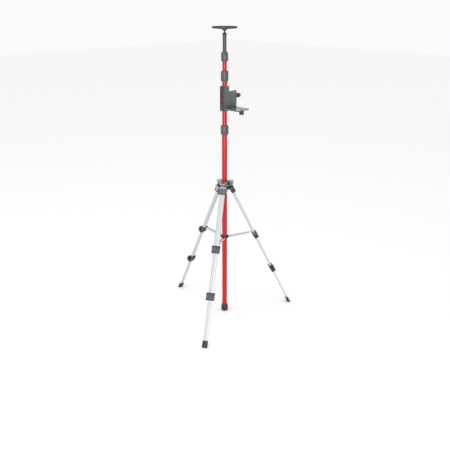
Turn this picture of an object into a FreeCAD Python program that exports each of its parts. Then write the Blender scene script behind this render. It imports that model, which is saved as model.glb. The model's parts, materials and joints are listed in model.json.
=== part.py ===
import FreeCAD, Part
import Sketcher
import math
import os

from FreeCAD import Placement, Rotation, Vector

# Telescopic laser pole on a small three-legged stand.
# The origin is the centre of the pole foot's underside. +Z is up the pole, +X is the way
# the shelf reaches out, and the legs stand at 60, 180 and 300 degrees from +X.
# Lengths are millimetres and angles are degrees.

document = FreeCAD.newDocument("laser_pole_on_stand")
sheet = document.addObject("Spreadsheet::Sheet", "Sizes")
pieces = {}

AXIS_TURN = {
    "x": Rotation(Vector(0, 1, 0), 90),
    "y": Rotation(Vector(1, 0, 0), -90),
    "z": Rotation(),
}
LEG_AZIMUTHS = {"a": 60.0, "b": 180.0, "c": 300.0}


class Size:
    """A number that remembers the sheet formula that gives it."""

    def __init__(self, value, formula):
        self.value = value
        self.formula = formula

    def __add__(self, other):
        return Size(self.value + number(other), f"({self.formula} + {formula(other)})")

    def __radd__(self, other):
        return self + other

    def __neg__(self):
        return Size(-self.value, f"(-1 * {self.formula})")

    def __sub__(self, other):
        return Size(self.value - number(other), f"({self.formula} - {formula(other)})")

    def __rsub__(self, other):
        return Size(number(other) - self.value, f"({formula(other)} - {self.formula})")

    def __mul__(self, other):
        return Size(self.value * number(other), f"({self.formula} * {formula(other)})")

    def __rmul__(self, other):
        return self * other

    def __truediv__(self, other):
        return Size(self.value / number(other), f"({self.formula} / {formula(other)})")


def number(size):
    return size.value if isinstance(size, Size) else float(size)


def formula(size):
    return size.formula if isinstance(size, Size) else f"({float(size)})"


def dimension(alias, value):
    """Put one driving dimension in the sheet and return it as a Size."""
    row = len(sheet.getUsedCells()) + 1
    sheet.set(f"A{row}", str(value))
    sheet.setAlias(f"A{row}", alias)
    return Size(float(value), f"Sizes.{alias}")


# ---------------------------------------------------------------- driving dimensions

# pole
wall = dimension("tube_wall", 1.2)
fit = dimension("running_gap", 0.06)
gap = dimension("free_gap", 0.3)
pole_od = [dimension(f"pole_{number_word}_od", od)
           for number_word, od in (("one", 28), ("two", 25), ("three", 22), ("four", 19))]
pole_low = [dimension(f"pole_{number_word}_low", z)
            for number_word, z in (("one", 8), ("two", 379), ("three", 504), ("four", 630))]
collar_low = [dimension(f"collar_{number_word}_low", z)
              for number_word, z in (("one", 1040), ("two", 1309), ("three", 1404))]
collar_high = [dimension(f"collar_{number_word}_high", z)
               for number_word, z in (("one", 1088), ("two", 1360), ("three", 1449))]
collar_od = [dimension(f"collar_{number_word}_od", od)
             for number_word, od in (("one", 41), ("two", 38.5), ("three", 35.5))]
tube_in_collar = dimension("tube_in_collar", 30)
collar_lip = dimension("collar_lip", 3)
collet_wall = dimension("collet_wall", 2.5)
bush_length = dimension("guide_bush_length", 12)
foot_od = dimension("pole_foot_od", 38)
foot_height = dimension("pole_foot_height", 41)
rod_top = dimension("rod_top", 1530)
cap_od = dimension("cap_flange_od", 24)
cap_flange = dimension("cap_flange", 7)
cap_plug = dimension("cap_plug", 14)
bush_wall = dimension("guide_bush_wall", 2.5)

# ceiling pad
ball_z = dimension("ball_centre_z", 1552)
ball_r = dimension("ball_r", 6)
ball_neck_r = dimension("ball_neck_r", 2.8)
ball_base_r = dimension("ball_base_r", 4.75)
ball_base = dimension("ball_base_height", 6)
pad_low = dimension("pad_low", 1560)
pad_hub_r = dimension("pad_hub_r", 15)
pad_mouth_r = dimension("pad_mouth_r", 8)
rib_count = 8
rib_half = dimension("pad_rib_half_width", 1)
pad_r = dimension("pad_r", 62)
pad_thick = dimension("pad_thick", 5)
rubber_thick = dimension("pad_rubber_thick", 2.5)
rib_depth = dimension("pad_rib_depth", 5)
rib_reach = dimension("pad_rib_reach", 52)

# laser bracket
block_half = dimension("block_half", 16.5)
block_low = dimension("block_low", 1161.6)
block_high = dimension("block_high", 1286.4)
liner_od = dimension("liner_od", 29)
liner_length = dimension("liner_length", 30)
liner_inset = dimension("liner_inset", 3.4)
window_half = dimension("window_half_width", 12.5)
window_floor = dimension("window_floor_y", -9)
window_spans = [(dimension("low_window_low", 1200), dimension("low_window_high", 1219)),
                (dimension("high_window_low", 1229), dimension("high_window_high", 1251))]
wing_end = dimension("wing_end_y", 70.5)
wing_low = dimension("wing_low", 1178)
wing_high = dimension("wing_high", 1260)
housing_high = dimension("clamp_housing_high", 1248)
wing_wall = dimension("wing_wall", 4)
wing_plate = dimension("wing_plate", 6)
cover_thick = dimension("cover_thick", 2.5)
shelf_thick = dimension("shelf_thick", 6)
shelf_end = dimension("shelf_end_x", 106.5)
clamp_z = dimension("clamp_screw_z", 1230)
clamp_knob_r = dimension("clamp_knob_r", 11)
clamp_knob_start = dimension("clamp_knob_start_y", 84)
clamp_knob_length = dimension("clamp_knob_length", 23.5)
clamp_neck_r = dimension("clamp_neck_r", 6.5)
clamp_screw_r = dimension("clamp_screw_r", 3)
clamp_tip = dimension("clamp_screw_tip_y", 19)
shoe_half = dimension("shoe_half_width", 9)
shoe_tall = dimension("shoe_half_height", 10)
shoe_thick = dimension("shoe_thickness", 13)
shoe_travel = dimension("shoe_travel", 3)
stud_x = dimension("stud_x", 93)
stud_y = dimension("stud_y", 27)
stud_r = dimension("stud_r", 3.175)
stud_reach = dimension("stud_reach", 8)
shank_r = dimension("stud_shank_r", 4)
shelf_knob_r = dimension("shelf_knob_r", 11.7)
shelf_knob_height = dimension("shelf_knob_height", 20)
screw_near = dimension("screw_near_y", 24)
screw_far = dimension("screw_far_y", 64)
screw_inset = dimension("screw_inset", 6)
shelf_screw_x = dimension("shelf_screw_x", 8)
screw_head_r = dimension("screw_head_r", 2.8)
screw_head = dimension("screw_head", 1.6)

# stand head
hinge_r = dimension("leg_hinge_r", 34)
hinge_z = dimension("leg_hinge_z", 751.7)
head_top = dimension("head_top", 788)
head_plate = dimension("head_plate", 8)
head_reach = dimension("head_reach", 48)
lobe_half = dimension("head_lobe_half_width", 17)
rim_reach = dimension("head_rim_reach", 42)
rim_half = dimension("head_rim_half_width", 13)
rim_low = dimension("head_rim_low", 766)
rim_high = dimension("head_rim_high", 772)
sleeve_od = dimension("head_sleeve_od", 44)
bush_od = dimension("head_bush_od", 34)
tongue_half = dimension("head_tongue_half", 8)
tongue_r = dimension("head_tongue_r", 9)
leg_pin_r = dimension("leg_pin_r", 3)
knob_z = dimension("head_knob_z", 784)
knob_r = dimension("head_knob_r", 9.5)
knob_start = dimension("head_knob_start_x", 27)
knob_length = dimension("head_knob_length", 17)
knob_screw_r = dimension("head_knob_screw_r", 2.5)

# legs, measured down the leg from its hinge pin
lean = dimension("leg_lean", 25.76)
leg_length = dimension("leg_length", 834.6)
top_half = dimension("leg_top_half_width", 21.5)
top_start = dimension("leg_top_start", 8)
top_end = dimension("leg_top_end", 28)
top_inner = dimension("leg_top_inner_face", -9)
top_outer = dimension("leg_top_outer_face", 13)
ear_r = dimension("leg_top_ear_r", 10)
slot_depth = dimension("leg_top_slot_depth", 10)
upper_size = (dimension("upper_leg_width", 29), dimension("upper_leg_depth", 14))
mid_size = (dimension("mid_leg_width", 26), dimension("mid_leg_depth", 11))
lower_size = (dimension("lower_leg_width", 23), dimension("lower_leg_depth", 8))
upper_span = (dimension("upper_leg_start", 12), dimension("upper_leg_end", 335))
mid_span = (dimension("mid_leg_start", 276), dimension("mid_leg_end", 583))
lower_span = (dimension("lower_leg_start", 530), dimension("lower_leg_end", 815))
lock_upper_at = dimension("upper_lock_centre", 321)
lock_lower_at = dimension("lower_lock_centre", 569.5)
lock_half = dimension("lock_half_width", 21)
lock_tall = dimension("lock_half_height", 20)
lock_deep = dimension("lock_half_depth", 10)
lever_pin_r = dimension("lever_pin_r", 1.5)
lever_pin_x = lock_deep + 0.5
lever_pin_y = 4 - lock_half
ear_tall = dimension("lock_ear_height", 8)
knuckle_r = dimension("lever_knuckle_r", 4)
lever_thick = dimension("lever_thick", 4)
boot_start = dimension("boot_start", 800)
boot_half = dimension("boot_half_width", 14.5)
boot_deep = dimension("boot_half_depth", 8)

# braces
brace_at = dimension("brace_pin_down_leg", 295)
brace_in = dimension("brace_pin_inward", 22)
hub_z = dimension("hub_z", 465.5)
hub_pin_r = dimension("hub_pin_circle_r", 25)
hub_od = dimension("hub_od", 41)
hub_half = dimension("hub_half_height", 5)
brace_half = dimension("brace_half_width", 8.5)
brace_sheet = dimension("brace_sheet", 1.5)
brace_deep = dimension("brace_half_depth", 3)
brace_pin_r = dimension("brace_pin_r", 1.5)
brace_web_start = dimension("brace_web_start", 8)
brace_side_short = dimension("brace_side_short_of_tab", 10)
brace_web_short = dimension("brace_web_short_of_tab", 29)
hub_lug_half = dimension("hub_lug_half_width", 5)
tab_half = dimension("tab_half_thickness", 2)
tab_round = dimension("tab_round", 4)
tab_root = dimension("tab_root_height", 24)
tab_pin_half = dimension("tab_pin_half_length", 6.5)


# ---------------------------------------------------------------- building blocks

def bind(feature, path, size):
    """Give a property its value, tied to the sheet where the value comes from it."""
    if isinstance(size, Size):
        feature.setExpression(path, size.formula)
    else:
        setattr(feature, path, size)


def move_to(feature, corner, turn=None):
    """Put a primitive at a corner or centre whose coordinates may come from the sheet."""
    feature.Placement = Placement(Vector(*[number(value) for value in corner]), turn or Rotation())
    for letter, value in zip("xyz", corner):
        if isinstance(value, Size):
            feature.setExpression(f"Placement.Base.{letter}", value.formula)


def block(name, x_span, y_span, z_span):
    box = document.addObject("Part::Box", name)
    for side, (low, high) in zip(("Length", "Width", "Height"), (x_span, y_span, z_span)):
        bind(box, side, high - low)
    move_to(box, (x_span[0], y_span[0], z_span[0]))
    return box


def round_bar(name, radius, start, length, axis="z"):
    bar = document.addObject("Part::Cylinder", name)
    bind(bar, "Radius", radius)
    bind(bar, "Height", length)
    move_to(bar, start, AXIS_TURN[axis])
    return bar


def flat_bar(name, width, depth, z_span):
    """A bar with flat faces and half-round edges, its width along Y and its depth along X."""
    low, high = z_span
    side = (width - depth) / 2
    middle = block(f"{name}_flat", (-depth / 2, depth / 2), (-side, side), z_span)
    edges = [round_bar(f"{name}_edge_{letter}", depth / 2, (0, place, low), high - low)
             for letter, place in (("left", -side), ("right", side))]
    return join(name, [middle] + edges)


def join(name, members):
    fused = document.addObject("Part::MultiFuse", name)
    fused.Shapes = members
    fused.Refine = True
    return fused


def cut(name, base, tools):
    result = document.addObject("Part::Cut", name)
    result.Base = base
    result.Tool = tools[0] if len(tools) == 1 else join(f"{name}_tools", tools)
    result.Refine = True
    return result


def group(name, members):
    compound = document.addObject("Part::Compound", name)
    compound.Links = members
    return compound


def origin_part(body, role):
    return next(part for part in body.Origin.OriginFeatures if part.Role == role)


def outline(body, name, role, points):
    """A closed outline of straight edges, each corner held from the origin by the sheet."""
    sketch = body.newObject("Sketcher::SketchObject", name)
    sketch.AttachmentSupport = [(origin_part(body, role), "")]
    sketch.MapMode = "FlatFace"
    corners = [Vector(number(across), number(up), 0) for across, up in points]
    count = len(corners)
    for start, end in zip(corners, corners[1:] + corners[:1]):
        sketch.addGeometry(Part.LineSegment(start, end), False)
    for edge in range(count):
        sketch.addConstraint(Sketcher.Constraint("Coincident", edge, 2, (edge + 1) % count, 1))
    for edge, point in enumerate(points):
        for kind, sketch_axis, size in (("DistanceX", -2, point[0]), ("DistanceY", -1, point[1])):
            if number(size) == 0:
                sketch.addConstraint(Sketcher.Constraint("PointOnObject", edge, 1, sketch_axis))
                continue
            index = sketch.addConstraint(
                Sketcher.Constraint(kind, -1, 1, edge, 1, number(size)))
            if isinstance(size, Size):
                sketch.setExpression(f"Constraints[{index}]", size.formula)
    return sketch


def turned(name, points):
    """A piece turned about the pole's axis from its half section of (radius, height) points."""
    body = document.addObject("PartDesign::Body", name)
    sketch = outline(body, f"{name}_section", "XZ_Plane", points)
    revolution = body.newObject("PartDesign::Revolution", f"{name}_turned")
    revolution.Profile = sketch
    revolution.ReferenceAxis = (sketch, ["V_Axis"])
    revolution.Angle = 360
    return body


def ring(name, outer_r, inner_r, z_span):
    low, high = z_span
    return turned(name, [(inner_r, low), (outer_r, low), (outer_r, high), (inner_r, high)])


def pressed_plate(name, points, half_thickness):
    """A plate cut to an outline in the XZ plane, as thick on each side of that plane."""
    body = document.addObject("PartDesign::Body", name)
    pad = body.newObject("PartDesign::Pad", f"{name}_plate")
    pad.Profile = outline(body, f"{name}_outline", "XZ_Plane", points)
    bind(pad, "Length", half_thickness * 2)
    pad.Midplane = True
    return body


def around(azimuth, placement=None):
    """Turn a piece that is built towards +X to its own leg's azimuth."""
    turn = Placement(Vector(), Rotation(Vector(0, 0, 1), azimuth))
    return turn.multiply(placement or Placement())


def turned_copy(feature, azimuth):
    """The same solid turned about the pole, keeping its bound place in its own frame."""
    holder = document.addObject("Part::Compound", f"{feature.Name}_turned")
    holder.Links = [feature]
    holder.Placement = around(azimuth)
    return holder


def piece(name, feature, placement=None):
    """Name a finished sub-part and put it in its place on the stand."""
    feature.Label = name
    if placement is not None:
        feature.Placement = placement
    pieces[name] = feature


# ---------------------------------------------------------------- pole

def pole_foot():
    r = foot_od / 2
    socket_r = pole_od[0] / 2
    return turned("pole_foot", [
        (0, 0), (r - 3, 0), (r, 3), (r, foot_height - 5), (r - 2, foot_height),
        (socket_r, foot_height), (socket_r, pole_low[0]), (0, pole_low[0])])


def pole_top(section):
    return rod_top if section == 3 else collar_low[section] + tube_in_collar


def collet(section):
    """Split jaw that the twist collar closes on the next section: grips below, steadies above."""
    grip_r = pole_od[section] / 2
    next_r = pole_od[section + 1] / 2 + fit
    low = collar_low[section] + collar_lip + gap
    shoulder = pole_top(section)
    high = collar_high[section] - collar_lip - gap
    outer = grip_r + collet_wall
    return turned(f"collet_{section + 1}_ring", [
        (grip_r, low), (outer, low), (outer, high), (next_r, high), (next_r, shoulder),
        (grip_r, shoulder)])


def guide_bush(section):
    """Plastic plug on a section's lower end, which keeps it central in the section outside."""
    outer = pole_od[section - 1] / 2 - wall - fit
    inner = pole_od[section] / 2 - wall
    bore = inner - bush_wall
    end = pole_low[section]
    return turned(f"guide_bush_{section + 1}_ring", [
        (bore, end - bush_length), (outer, end - bush_length), (outer, end), (inner, end),
        (inner, end + bush_length), (bore, end + bush_length)])


def collar(section):
    outer = collar_od[section] / 2
    cavity = pole_od[section] / 2 + collet_wall + gap
    low, high = collar_low[section], collar_high[section]
    lower_bore = pole_od[section] / 2 + gap
    upper_bore = pole_od[section + 1] / 2 + gap
    return turned(f"collar_{section + 1}", [
        (lower_bore, low), (outer - 2, low), (outer, low + 4), (outer, high - 4),
        (outer - 2, high), (upper_bore, high), (upper_bore, high - collar_lip),
        (cavity, high - collar_lip), (cavity, low + collar_lip), (lower_bore, low + collar_lip)])


def top_cap():
    plug_r = pole_od[3] / 2 - wall
    return turned("top_cap", [
        (0, rod_top - cap_plug), (plug_r, rod_top - cap_plug), (plug_r, rod_top),
        (cap_od / 2, rod_top),
        (cap_od / 2, rod_top + cap_flange), (0, rod_top + cap_flange)])


piece("pole_foot", pole_foot())
for section in range(4):
    outer_r = pole_od[section] / 2
    piece(f"pole_tube_{section + 1}", ring(f"pole_tube_{section + 1}", outer_r, outer_r - wall,
                                           (pole_low[section], pole_top(section))))
for section in range(3):
    piece(f"collar_{section + 1}", collar(section))
piece("collet_1", collet(0))
piece("bushes_2", group("bushes_2", [collet(1), guide_bush(1)]))
piece("bushes_3", group("bushes_3", [collet(2), guide_bush(2)]))
piece("bush_4", guide_bush(3))
piece("top_cap", top_cap())


# ---------------------------------------------------------------- ceiling pad

def ball_stud():
    """Spinning post with a wide base on the cap and a ball that carries the pad."""
    base = rod_top + cap_flange + gap
    post = turned("ball_post", [
        (0, base), (ball_base_r, base), (ball_base_r, base + ball_base),
        (ball_neck_r, base + ball_base + 2), (ball_neck_r, ball_z), (0, ball_z)])
    ball = document.addObject("Part::Sphere", "ball")
    bind(ball, "Radius", ball_r)
    move_to(ball, (0, 0, ball_z))
    return join("ball_stud", [post, ball])


def pad_plate():
    """Round plate with a socket hub and ribs under it. The socket closes round the ball."""
    socket = ball_r + fit
    mouth = ball_z - 4
    disc = turned("pad_disc", [
        (0, pad_low + pad_thick), (pad_r, pad_low + pad_thick), (pad_r, pad_low),
        (pad_hub_r, pad_low), (pad_hub_r, pad_low - 4), (pad_mouth_r, mouth), (0, mouth)])
    disc_ribs = []
    for index in range(rib_count):
        rib = block(f"rib_{index}", (0, rib_reach), (-rib_half, rib_half),
                    (pad_low - rib_depth, pad_low))
        disc_ribs.append(turned_copy(rib, 360 / rib_count * index))
    hollow = document.addObject("Part::Sphere", "socket")
    bind(hollow, "Radius", socket)
    move_to(hollow, (0, 0, ball_z))
    return cut("pad_plate", join("pad_ribbed", [disc] + disc_ribs), [hollow])


pad_top = pad_low + pad_thick
piece("ball_stud", ball_stud())
piece("pad_plate", pad_plate())
piece("pad_rubber", ring("pad_rubber", pad_r - 1, 3, (pad_top, pad_top + rubber_thick)))


# ---------------------------------------------------------------- laser bracket

def bracket_liner():
    bore = pole_od[1] / 2 + fit
    rings = [("lower", block_low + liner_inset),
             ("upper", block_high - liner_inset - liner_length)]
    return group("bracket_liner", [ring(f"liner_{name}", liner_od / 2, bore,
                                        (low, low + liner_length)) for name, low in rings])


def bracket_body():
    """Square block round the pole with two windows, and a wing with the clamp's housing."""
    square = (-block_half, block_half)
    column = block("bracket_column", square, square, (block_low, block_high))
    wing = block("bracket_wing", (block_half - wing_plate, block_half),
                 (block_half - 1, wing_end), (wing_low, wing_high))
    housing = block("bracket_housing", (cover_thick - block_half, block_half - wing_plate + 1),
                    (block_half - 1, wing_end), (wing_low, housing_high))
    bore = round_bar("bracket_bore", liner_od / 2 + fit, (0, 0, block_low - 1),
                     block_high - block_low + 2)
    windows = [block(f"bracket_window_{name}", (-window_half, window_half),
                     (-block_half - 1, window_floor), span)
               for name, span in zip(("low", "high"), window_spans)]
    hollow = block("bracket_hollow", (-block_half, block_half - wing_wall),
                   (block_half + 4, wing_end - 6),
                   (wing_low + wing_wall, housing_high - wing_wall))
    slot_half, slot_tall = shoe_half + 0.4, shoe_tall + 0.4
    shoe_slot = block("bracket_shoe_slot", (-slot_half, slot_half), (10, block_half + 5),
                      (clamp_z - slot_tall, clamp_z + slot_tall))
    screw_way = round_bar("bracket_screw_way", clamp_screw_r + fit, (0, wing_end - 7, clamp_z),
                          8, "y")
    return cut("bracket_body", join("bracket_solid", [column, wing, housing]),
               [bore, hollow, shoe_slot, screw_way] + windows)


def shelf_plate():
    """Flat shelf with a root under the wing, notched round the column."""
    level = (wing_low - shelf_thick, wing_low)
    shelf = block("shelf_flat", (block_half, shelf_end), (-block_half, wing_end), level)
    root = block("shelf_root", (cover_thick - block_half, block_half + 1),
                 (block_half, wing_end), level)
    hole = round_bar("shelf_hole", shank_r + fit, (stud_x, stud_y, wing_low - shelf_thick - 1),
                     shelf_thick + 2)
    return cut("shelf_plate", join("shelf_solid", [shelf, root]), [hole])


def bracket_screws():
    """Pan-head screws: four on the back cover and four under the shelf's root."""
    heads = []
    for row, y in (("near", screw_near), ("far", screw_far)):
        for level, z in (("low", wing_low + screw_inset), ("high", housing_high - screw_inset)):
            heads.append(round_bar(f"cover_screw_{row}_{level}", screw_head_r,
                                   (-block_half - screw_head, y, z), screw_head, "x"))
        for side, x in (("back", -shelf_screw_x), ("front", shelf_screw_x)):
            heads.append(round_bar(f"shelf_screw_{row}_{side}", screw_head_r,
                                   (x, y, wing_low - shelf_thick - screw_head), screw_head))
    return group("bracket_screws", heads)


def clamp_knob():
    """Knob outside the wing on a screw that carries the shoe."""
    neck_start = wing_end + 1
    knob = round_bar("clamp_grip", clamp_knob_r, (0, clamp_knob_start, clamp_z),
                     clamp_knob_length, "y")
    neck = round_bar("clamp_neck", clamp_neck_r, (0, neck_start, clamp_z),
                     clamp_knob_start - neck_start + 1, "y")
    screw = round_bar("clamp_screw", clamp_screw_r, (0, clamp_tip, clamp_z),
                      neck_start - clamp_tip + 1, "y")
    return join("clamp_knob", [knob, neck, screw])


def clamp_shoe():
    """Block that the screw pushes at the pole, bored deep enough for it to back off."""
    face = pole_od[1] / 2 + gap
    shoe = block("shoe_block", (-shoe_half, shoe_half), (face, face + shoe_thick),
                 (clamp_z - shoe_tall, clamp_z + shoe_tall))
    thread = round_bar("shoe_thread", clamp_screw_r + fit,
                       (0, clamp_tip - shoe_travel - 0.5, clamp_z), shoe_thick, "y")
    return cut("clamp_shoe", shoe, [thread])


def shelf_knob():
    """Knob under the shelf with the shank through it and the laser's screw above."""
    under = wing_low - shelf_thick - 0.5
    grip = round_bar("shelf_grip", shelf_knob_r, (stud_x, stud_y, under - shelf_knob_height),
                     shelf_knob_height)
    shank = round_bar("shelf_shank", shank_r, (stud_x, stud_y, under - 1), wing_low - under + 1)
    stud = round_bar("shelf_stud", stud_r, (stud_x, stud_y, wing_low - 1), stud_reach + 1)
    return join("shelf_knob", [grip, shank, stud])


piece("bracket_liner", bracket_liner())
piece("bracket_body", bracket_body())
piece("bracket_cover", block("bracket_cover", (-block_half, cover_thick - block_half),
                             (block_half, wing_end), (wing_low, housing_high)))
piece("shelf_plate", shelf_plate())
piece("bracket_screws", bracket_screws())
piece("clamp_knob", clamp_knob())
piece("clamp_shoe", clamp_shoe())
piece("shelf_knob", shelf_knob())


# ---------------------------------------------------------------- stand head

def head_casting():
    """Sleeve with a lobed top plate, and one hinge tongue under each lobe."""
    sleeve_low = hinge_z - 12
    solids = [round_bar("head_sleeve", sleeve_od / 2, (0, 0, sleeve_low), head_top - 1 - sleeve_low)]
    holes = [round_bar("head_bore", bush_od / 2, (0, 0, hinge_z - 20), head_top - hinge_z + 30)]
    for leg, azimuth in LEG_AZIMUTHS.items():
        for name, reach, half, low, high in (
                ("lobe", head_reach, lobe_half, head_top - head_plate, head_top),
                ("rim", rim_reach, rim_half, rim_low, rim_high),
                ("stem", hinge_r, tongue_half, hinge_z - tongue_r, head_top - head_plate + 1)):
            arm = block(f"head_{name}_{leg}", (0, reach), (-half, half), (low, high))
            solids.append(turned_copy(arm, azimuth))
        tongue = round_bar(f"head_tongue_{leg}", tongue_r, (hinge_r, -tongue_half, hinge_z),
                           tongue_half * 2, "y")
        hole = round_bar(f"head_pin_hole_{leg}", leg_pin_r, (hinge_r, -tongue_half - 1, hinge_z),
                         tongue_half * 2 + 2, "y")
        solids.append(turned_copy(tongue, azimuth))
        holes.append(turned_copy(hole, azimuth))
    holes.append(round_bar("head_knob_way", knob_screw_r + fit, (bush_od / 2 - 2, 0, knob_z), 10,
                           "x"))
    return cut("head_casting", join("head_solid", solids), holes)


def head_lock_knob():
    grip = round_bar("head_grip", knob_r, (knob_start, 0, knob_z), knob_length, "x")
    screw = round_bar("head_screw", knob_screw_r, (bush_od / 2 + gap, 0, knob_z),
                      knob_start - bush_od / 2, "x")
    return join("head_lock_knob", [grip, screw])


def leg_pins():
    return group("leg_pins", [
        turned_copy(round_bar(f"leg_pin_{leg}", leg_pin_r, (hinge_r, -top_half, hinge_z),
                              top_half * 2, "y"), azimuth)
        for leg, azimuth in LEG_AZIMUTHS.items()])


piece("head_casting", head_casting())
piece("head_bush", ring("head_bush", bush_od / 2, pole_od[0] / 2 + fit,
                        (hinge_z - 16, head_top + 2)))
piece("head_lock_knob", head_lock_knob())
piece("leg_pins", leg_pins())


# ---------------------------------------------------------------- legs
# A leg is built in its own frame: hinge pin at the origin, down the leg -Z, outer face +X.

def leg_place(azimuth):
    tilt = Placement(Vector(number(hinge_r), 0, number(hinge_z)),
                     Rotation(Vector(0, 1, 0), -number(lean)))
    return around(azimuth, tilt)


def leg_tube(name, size, span):
    width, depth = size
    start, end = span
    outer = flat_bar(f"{name}_outer", width, depth, (-end, -start))
    inner = flat_bar(f"{name}_inner", width - wall * 2, depth - wall * 2, (-end - 1, 1 - start))
    return cut(name, outer, [inner])


def leg_top(name):
    """Plastic block on the leg's upper end, slotted for the head's tongue."""
    both = (-top_half, top_half)
    ears = round_bar(f"{name}_ears", ear_r, (0, -top_half, 0), top_half * 2, "y")
    shell = block(f"{name}_shell", (top_inner, top_outer), both, (-top_end, top_start))
    slot = block(f"{name}_slot", (-ear_r * 2, ear_r * 2), (-tongue_half - 0.4, tongue_half + 0.4),
                 (-slot_depth, ear_r * 2))
    pin_hole = round_bar(f"{name}_pin_hole", leg_pin_r + fit, (0, -top_half - 1, 0),
                         top_half * 2 + 2, "y")
    socket = flat_bar(f"{name}_socket", *upper_size, (-top_end - 1, -upper_span[0]))
    return cut(name, join(f"{name}_solid", [ears, shell]), [slot, pin_hole, socket])


def lock(name, centre, tube_size, next_size, tube_end, with_tab):
    """Lock housing on the end of a leg tube, with ears and a pin for its flip lever."""
    low, high = -centre - lock_tall, lock_tall - centre
    solids = [block(f"{name}_housing", (-lock_deep, lock_deep), (-lock_half, lock_half),
                    (low, high))]
    solids += [round_bar(f"{name}_ear_{end}", knuckle_r, (lever_pin_x, lever_pin_y, z), ear_tall)
               for end, z in (("low", low), ("high", high - ear_tall))]
    space = round_bar(f"{name}_knuckle_space", knuckle_r + 0.4,
                      (lever_pin_x, lever_pin_y, low + ear_tall), (lock_tall - ear_tall) * 2)
    sleeve = flat_bar(f"{name}_sleeve", *tube_size, (-tube_end, high + 1))
    mouth = flat_bar(f"{name}_mouth", next_size[0] + gap * 2, next_size[1] + gap * 2,
                     (low - 1, 1 - tube_end))
    pin = round_bar(f"{name}_lever_pin", lever_pin_r, (lever_pin_x, lever_pin_y, low + 4),
                    lock_tall * 2 - 8)
    if with_tab:
        root_x, tab_x, tab_z = 0.5 - lock_deep, -brace_in, -brace_at
        solids.append(pressed_plate(f"{name}_tab", [
            (root_x, high), (root_x, high - tab_root), (tab_x - tab_round, tab_z - tab_round),
            (tab_x - tab_round, tab_z + tab_round), (tab_x + 3, tab_z + tab_round)], tab_half))
        solids.append(round_bar(f"{name}_tab_pin", tab_half, (tab_x, -tab_pin_half, tab_z),
                                tab_pin_half * 2, "y"))
    housing = cut(f"{name}_shell", join(f"{name}_solid", solids), [space, sleeve, mouth])
    return join(name, [housing, pin])


def lever(name, centre):
    """Flip lever: a flat door whose knuckle turns on a pin that runs along the leg."""
    low, high = ear_tall - lock_tall - centre + gap, lock_tall - ear_tall - centre - gap
    face = lock_deep + 0.4
    knuckle = round_bar(f"{name}_knuckle", knuckle_r, (lever_pin_x, lever_pin_y, low), high - low)
    door = block(f"{name}_door", (face, face + lever_thick), (lever_pin_y, lock_half - 2),
                 (low, high))
    bore = round_bar(f"{name}_bore", lever_pin_r + fit, (lever_pin_x, lever_pin_y, low - 1),
                     lock_tall * 2)
    return cut(name, join(f"{name}_solid", [knuckle, door]), [bore])


def boot(name):
    """Rubber boot on the leg's end, cut off level with the ground."""
    shell = block(f"{name}_shell", (-boot_deep, boot_deep), (-boot_half, boot_half),
                  (-leg_length - 20, -boot_start))
    socket = flat_bar(f"{name}_socket", *lower_size, (-lower_span[1], 1 - boot_start))
    ground = document.addObject("Part::Box", f"{name}_ground")
    ground.Length = ground.Width = ground.Height = 100
    level = Rotation(Vector(0, 1, 0), number(lean))
    ground.Placement = Placement(Vector(0, 0, -number(leg_length)), level).multiply(
        Placement(Vector(-50, -50, -100), Rotation()))
    return cut(name, shell, [socket, ground])


for leg, azimuth in LEG_AZIMUTHS.items():
    place = leg_place(azimuth)
    piece(f"leg_top_{leg}", leg_top(f"leg_top_{leg}"), place)
    piece(f"upper_leg_{leg}", leg_tube(f"upper_leg_{leg}", upper_size, upper_span), place)
    piece(f"mid_leg_{leg}", leg_tube(f"mid_leg_{leg}", mid_size, mid_span), place)
    piece(f"lower_leg_{leg}", leg_tube(f"lower_leg_{leg}", lower_size, lower_span), place)
    piece(f"lock_upper_{leg}", lock(f"lock_upper_{leg}", lock_upper_at, upper_size, mid_size,
                                    upper_span[1], True), place)
    piece(f"lock_lower_{leg}", lock(f"lock_lower_{leg}", lock_lower_at, mid_size, lower_size,
                                    mid_span[1], False), place)
    piece(f"lever_upper_{leg}", lever(f"lever_upper_{leg}", lock_upper_at), place)
    piece(f"lever_lower_{leg}", lever(f"lever_lower_{leg}", lock_lower_at), place)
    piece(f"leg_foot_{leg}", boot(f"leg_foot_{leg}"), place)


# ---------------------------------------------------------------- spreader hub and braces

def brace_line():
    """Length and slope of a brace from its hub pin to the middle of its tab on the leg."""
    angle = math.radians(number(lean))
    along, inward = number(brace_at), number(brace_in)
    out = (number(hinge_r) + along * math.sin(angle) - inward * math.cos(angle)
           - number(hub_pin_r))
    rise = (number(hinge_z) - along * math.cos(angle) - inward * math.sin(angle)
            - number(hub_z))
    return math.hypot(out, rise), math.degrees(math.atan2(rise, out))


def brace_hub():
    bore = round_bar("hub_bore", pole_od[0] / 2 + gap, (0, 0, hub_z - 10), 20)
    solids = [round_bar("hub_ring", hub_od / 2, (0, 0, hub_z - hub_half), hub_half * 2)]
    holes = [bore]
    for leg, azimuth in LEG_AZIMUTHS.items():
        lug = block(f"hub_lug_{leg}", (hub_od / 2 - 4, hub_pin_r + 3),
                    (-hub_lug_half, hub_lug_half), (hub_z - 4, hub_z + 4))
        hole = round_bar(f"hub_hole_{leg}", brace_pin_r, (hub_pin_r, -hub_lug_half - 1, hub_z),
                         hub_lug_half * 2 + 2, "y")
        solids.append(turned_copy(lug, azimuth))
        holes.append(turned_copy(hole, azimuth))
    return cut("brace_hub", join("hub_solid", solids), holes)


def brace_pins():
    return group("brace_pins", [
        turned_copy(round_bar(f"brace_pin_{leg}", brace_pin_r,
                              (hub_pin_r, -brace_half - 0.5, hub_z),
                              brace_half * 2 + 1, "y"), azimuth)
        for leg, azimuth in LEG_AZIMUTHS.items()])


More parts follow.
